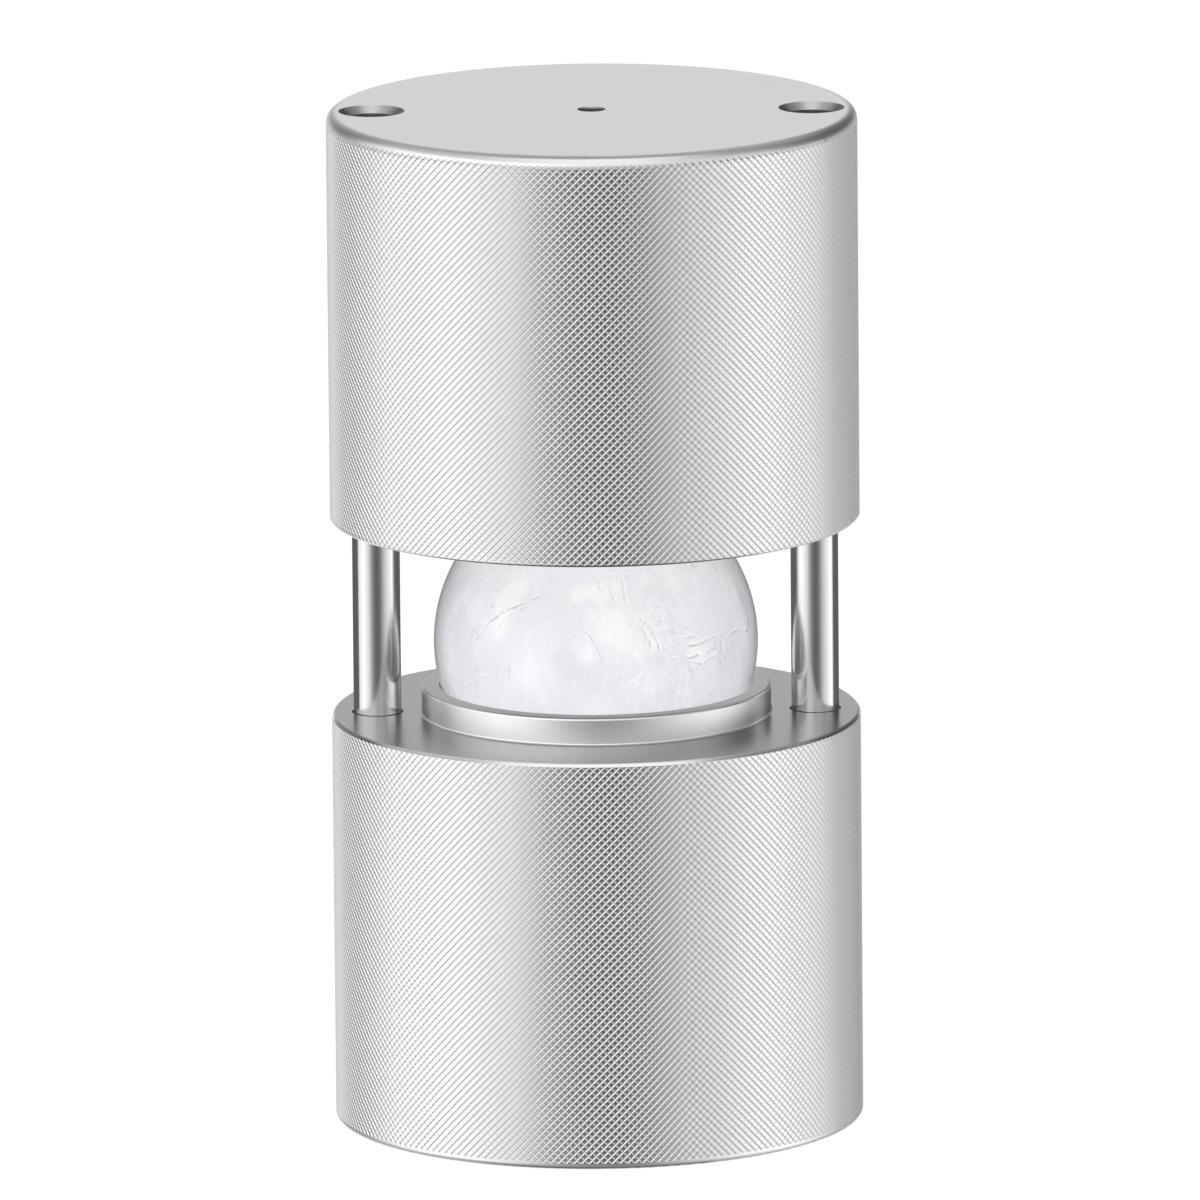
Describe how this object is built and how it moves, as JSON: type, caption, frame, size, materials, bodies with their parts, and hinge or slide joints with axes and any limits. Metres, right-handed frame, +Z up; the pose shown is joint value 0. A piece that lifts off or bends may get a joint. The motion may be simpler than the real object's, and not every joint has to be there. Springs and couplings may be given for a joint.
{
  "type": "ice ball press",
  "caption": "Heavy two-part press whose knurled upper mould slides down a pair of guide rods and melts a block of ice into a clear ball.",
  "frame": {"origin": "on the surface that the press stands on, under the middle of the lower mould", "axes": "+Z up along the guide rods, X through both guide rods, -Y towards the side that the picture shows"},
  "size_m": [0.1142, 0.1142, 0.2214],
  "materials": {
    "mould_metal": "machined satin faces, knurled sides",
    "ice": "cloudy wet ice with white cracks",
    "rod_steel": "ground and polished stainless steel",
    "screw_steel": "plain stainless cap screw",
    "washer_steel": "plain spring steel",
    "foot_rubber": "black moulded rubber"
  },
  "bodies": {
    "base": {"lower_mould": "mould_metal", "guide_rod_left": "rod_steel", "guide_rod_right": "rod_steel", "rod_screw_left": "screw_steel", "rod_screw_right": "screw_steel", "rod_washer_left": "washer_steel", "rod_washer_right": "washer_steel", "foot_back_right": "foot_rubber", "foot_back_left": "foot_rubber", "foot_front_left": "foot_rubber", "foot_front_right": "foot_rubber"},
    "ice": {"ice_ball": "ice"},
    "press_head": {"upper_mould": "mould_metal"}
  },
  "joints": [
    {"name": "ice_ball_lift", "type": "slide", "parent": "base", "child": "ice", "axis": [0, 0, 1], "range_m": [0, 0.028]},
    {"name": "upper_mould_slide", "type": "slide", "parent": "ice", "child": "press_head", "axis": [0, 0, 1], "range_m": [-0.0429, 0.045]}
  ]
}
